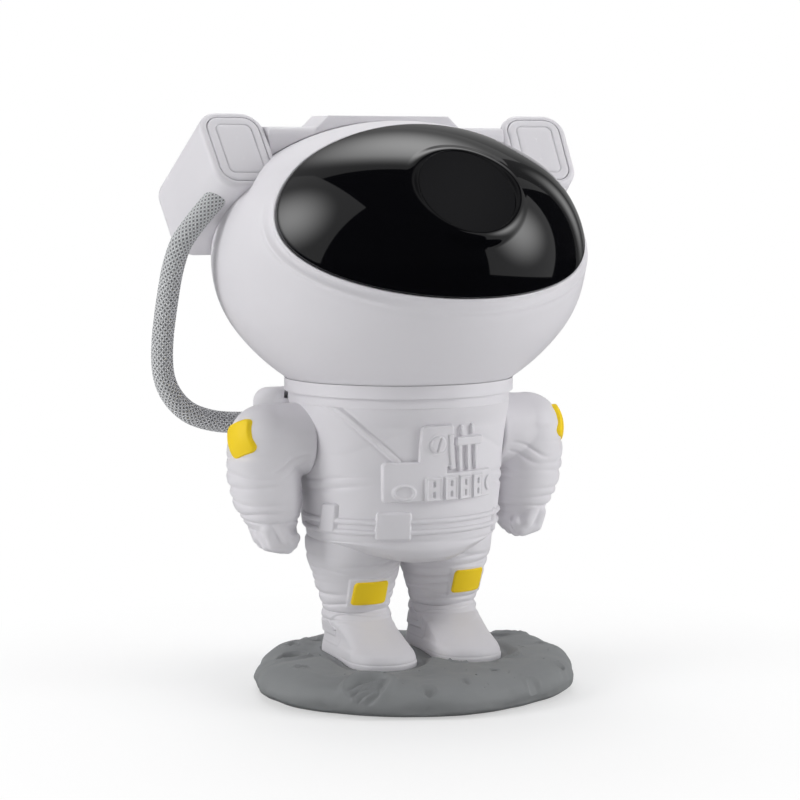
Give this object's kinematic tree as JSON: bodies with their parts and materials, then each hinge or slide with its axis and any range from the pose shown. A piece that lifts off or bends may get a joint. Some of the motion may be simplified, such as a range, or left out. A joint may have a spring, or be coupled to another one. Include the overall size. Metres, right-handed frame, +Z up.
{
  "type": "astronaut star projector",
  "caption": "Star and nebula projector shaped as an astronaut on a moon base, with a tilting magnetic head, a glossy visor lens, jointed arms, an air hose and a backpack with buttons.",
  "frame": {"origin": "centre of the pad that the base rests on", "axes": "+Z up, -Y the way the figure faces, +X the figure's left hand"},
  "size_m": [0.1797, 0.1496, 0.2252],
  "materials": {
    "suit_white": "soft matte white",
    "moon_grey": "matte moon grey",
    "patch_yellow": "satin yellow",
    "visor_black": "polished black",
    "smoked_lens": "polished smoked lens",
    "clear_lens": "polished clear lens",
    "hose_braid": "grey braided sleeve",
    "light_grey": "matte light grey",
    "button_grey": "matte silicone",
    "dark_plastic": "matte black",
    "natural_plastic": "natural nylon",
    "pad_rubber": "matte black foam rubber",
    "gasket_rubber": "matte black",
    "ballast_steel": "zinc-plated",
    "screw_steel": "zinc-plated",
    "socket_steel": "plated shell",
    "motor_steel": "plain can",
    "magnet_nickel": "nickel-plated",
    "laser_brass": "turned brass",
    "heatsink_aluminium": "plain",
    "led_white": "white board with a light source",
    "circuit_board": "green lacquer",
    "nebula_film": "tinted moulded plastic"
  },
  "bodies": {
    "stand": {"moon_base": "moon_grey", "base_cover": "dark_plastic", "base_pad": "pad_rubber", "ballast_plate": "ballast_steel", "base_screws": "screw_steel", "boots": "suit_white", "boot_straps": "suit_white", "legs": "suit_white", "knee_patches": "patch_yellow", "leg_screws": "screw_steel", "torso_front_shell": "suit_white", "torso_rear_shell": "suit_white", "collar_ring": "suit_white", "chest_panel": "suit_white", "belt": "suit_white", "backpack_shell": "suit_white", "backpack_cover": "light_grey", "cover_screws": "screw_steel", "power_board": "circuit_board", "usb_socket": "socket_steel", "shoulder_pins": "natural_plastic", "neck_bridge": "natural_plastic", "hose_lower": "hose_braid"},
    "right_arm_body": {"right_arm": "suit_white", "right_shoulder_patch": "patch_yellow"},
    "left_arm_body": {"left_arm": "suit_white", "left_shoulder_patch": "patch_yellow"},
    "power_button_body": {"power_button": "button_grey"},
    "star_button_body": {"star_button": "button_grey"},
    "nebula_button_body": {"nebula_button": "button_grey"},
    "timer_button_body": {"timer_button": "button_grey"},
    "neck": {"neck_turntable": "suit_white", "steel_plate": "ballast_steel", "neck_screw": "screw_steel"},
    "head": {"magnet_holder": "natural_plastic", "head_magnets": "magnet_nickel", "helmet_front_shell": "suit_white", "helmet_rear_shell": "suit_white", "visor": "visor_black", "visor_gasket": "gasket_rubber", "right_pod": "suit_white", "left_pod": "suit_white", "pod_caps": "suit_white", "pod_screws": "screw_steel", "cross_bar": "suit_white", "hose_upper": "hose_braid", "projector_frame": "dark_plastic", "lens_barrel": "dark_plastic", "projection_lens": "smoked_lens", "objective_lens": "clear_lens", "condenser_lens": "clear_lens", "heatsink": "heatsink_aluminium", "led_board": "led_white", "gear_motor": "motor_steel", "wheel_axles": "screw_steel", "laser_module": "laser_brass", "head_board": "circuit_board"},
    "nebula_wheel_body": {"nebula_wheel": "nebula_film"},
    "pinion_body": {"motor_pinion": "natural_plastic"},
    "grating_body": {"grating_wheel": "nebula_film"}
  },
  "joints": [
    {"name": "head_swivel", "type": "hinge", "parent": "stand", "child": "neck", "pos_m": [0, 0.0155, 0.1], "axis": [0, 0, 1], "range_deg": [-20, 20], "deforming": ["hose_lower"]},
    {"name": "head_tilt", "type": "hinge", "parent": "neck", "child": "head", "pos_m": [0, 0.0155, 0.189], "axis": [1, 0, 0], "range_deg": [-12, 12], "deforming": ["hose_upper"]},
    {"name": "right_shoulder", "type": "hinge", "parent": "stand", "child": "right_arm_body", "pos_m": [-0.0402, 0.0155, 0.0985], "axis": [-1, 0, 0], "range_deg": [-10, 95]},
    {"name": "left_shoulder", "type": "hinge", "parent": "stand", "child": "left_arm_body", "pos_m": [0.0402, 0.0155, 0.0985], "axis": [-1, 0, 0], "range_deg": [-10, 95]},
    {"name": "power_button_press", "type": "slide", "parent": "stand", "child": "power_button_body", "axis": [0, -1, 0], "range_m": [0, 0.0008], "stiffness_N_per_m": 400, "springref_m": -0.0005},
    {"name": "star_button_press", "type": "slide", "parent": "stand", "child": "star_button_body", "axis": [0, -1, 0], "range_m": [0, 0.0008], "stiffness_N_per_m": 400, "springref_m": -0.0005},
    {"name": "nebula_button_press", "type": "slide", "parent": "stand", "child": "nebula_button_body", "axis": [0, -1, 0], "range_m": [0, 0.0008], "stiffness_N_per_m": 400, "springref_m": -0.0005},
    {"name": "timer_button_press", "type": "slide", "parent": "stand", "child": "timer_button_body", "axis": [0, -1, 0], "range_m": [0, 0.0008], "stiffness_N_per_m": 400, "springref_m": -0.0005},
    {"name": "nebula_spin", "type": "hinge", "parent": "head", "child": "nebula_wheel_body", "pos_m": [0, -0.01692, 0.19236], "axis": [0, -0.7716, 0.6361], "continuous": true},
    {"name": "pinion_spin", "type": "hinge", "parent": "head", "child": "pinion_body", "pos_m": [0.01954, -0.03173, 0.17439], "axis": [0, -0.7716, 0.6361], "continuous": true},
    {"name": "grating_spin", "type": "hinge", "parent": "head", "child": "grating_body", "pos_m": [-0.02263, -0.03407, 0.17156], "axis": [0, -0.7716, 0.6361], "continuous": true}
  ],
  "couplings": [
    {"joint": "pinion_spin", "follows": "nebula_spin", "ratio": -3.75},
    {"joint": "grating_spin", "follows": "nebula_spin", "ratio": -2.1429}
  ]
}
